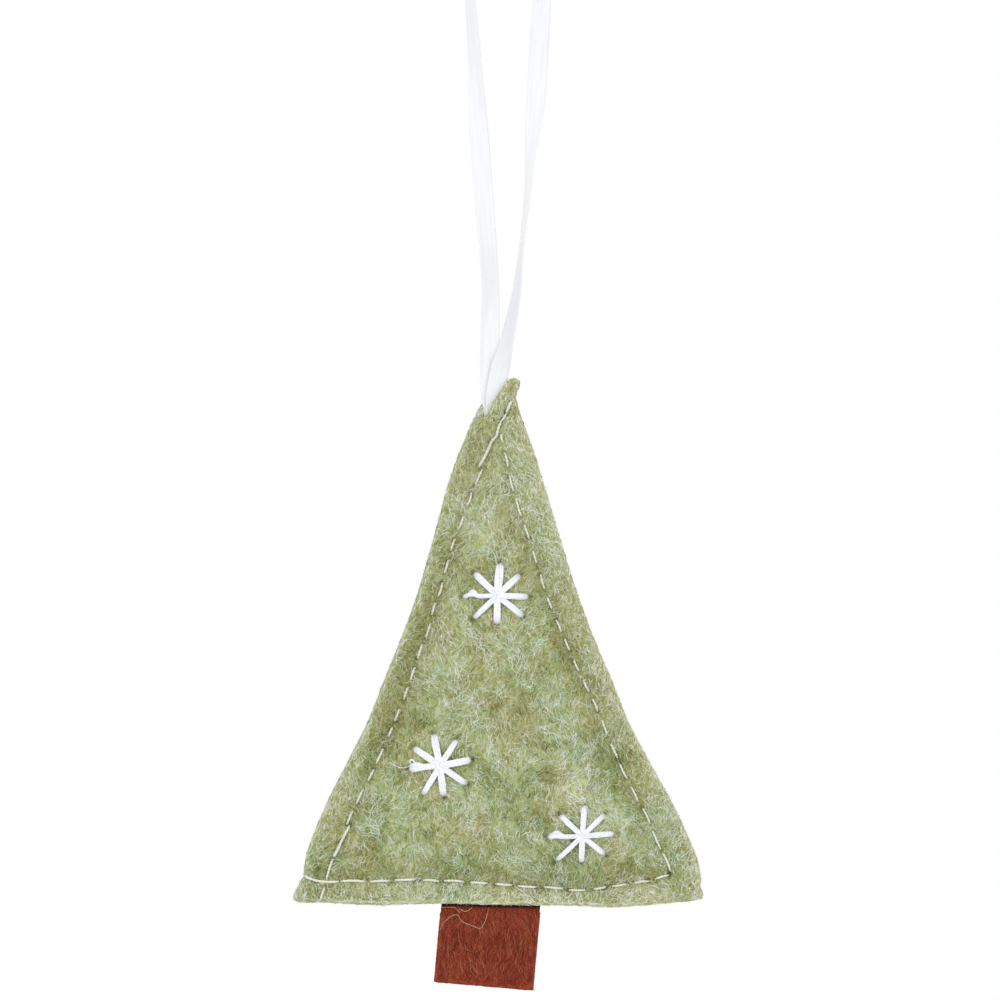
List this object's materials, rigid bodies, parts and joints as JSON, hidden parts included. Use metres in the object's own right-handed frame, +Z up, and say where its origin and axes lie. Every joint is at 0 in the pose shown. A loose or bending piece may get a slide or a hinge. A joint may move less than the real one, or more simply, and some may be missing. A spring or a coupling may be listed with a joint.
{
  "type": "felt christmas ornament",
  "caption": "Stuffed felt tree with stitched edges, embroidered snowflakes and a felt trunk, hanging from a looped satin ribbon.",
  "frame": {"origin": "the hanging point, inside the top of the ribbon loop", "axes": "+Z up along the hanging height, +X to the right seen from the front, +Y from the front to the back"},
  "size_m": [0.068, 0.0113, 0.1829],
  "materials": {
    "green_felt": "heathered sage-green felt with pale loose fibres",
    "rust_felt": "rust-brown felt",
    "wadding": "loose polyester wadding",
    "seam_thread": "cream cotton sewing thread",
    "floss": "white stranded embroidery floss",
    "satin_ribbon": "white satin"
  },
  "bodies": {
    "loop": {"ribbon_loop": "satin_ribbon"},
    "neck": {"ribbon_neck": "satin_ribbon"},
    "tree": {"front_panel": "green_felt", "back_panel": "green_felt", "wadding": "wadding", "needle_thread_left": "seam_thread", "bobbin_thread_left": "seam_thread", "needle_thread_base_right": "seam_thread", "bobbin_thread_base_right": "seam_thread", "snowflake_top": "floss", "snowflake_left": "floss", "snowflake_right": "floss", "trunk_root": "rust_felt", "ribbon_tails": "satin_ribbon"},
    "trunk": {"trunk_tab": "rust_felt"}
  },
  "joints": [
    {"name": "tree_turn", "type": "hinge", "parent": "loop", "child": "neck", "pos_m": [-0.0022, 0, -0.0751], "axis": [0, 0, 1], "range_deg": [-180, 180], "stiffness_Nm_per_rad": 0.000006},
    {"name": "tree_swing", "type": "hinge", "parent": "neck", "child": "tree", "pos_m": [-0.0029, 0, -0.0793], "axis": [1, 0, 0], "range_deg": [-90, 90]},
    {"name": "trunk_flex", "type": "hinge", "parent": "tree", "child": "trunk", "pos_m": [-0.0025, 0, -0.1692], "axis": [1, 0, 0], "range_deg": [-90, 90], "stiffness_Nm_per_rad": 0.0002}
  ]
}
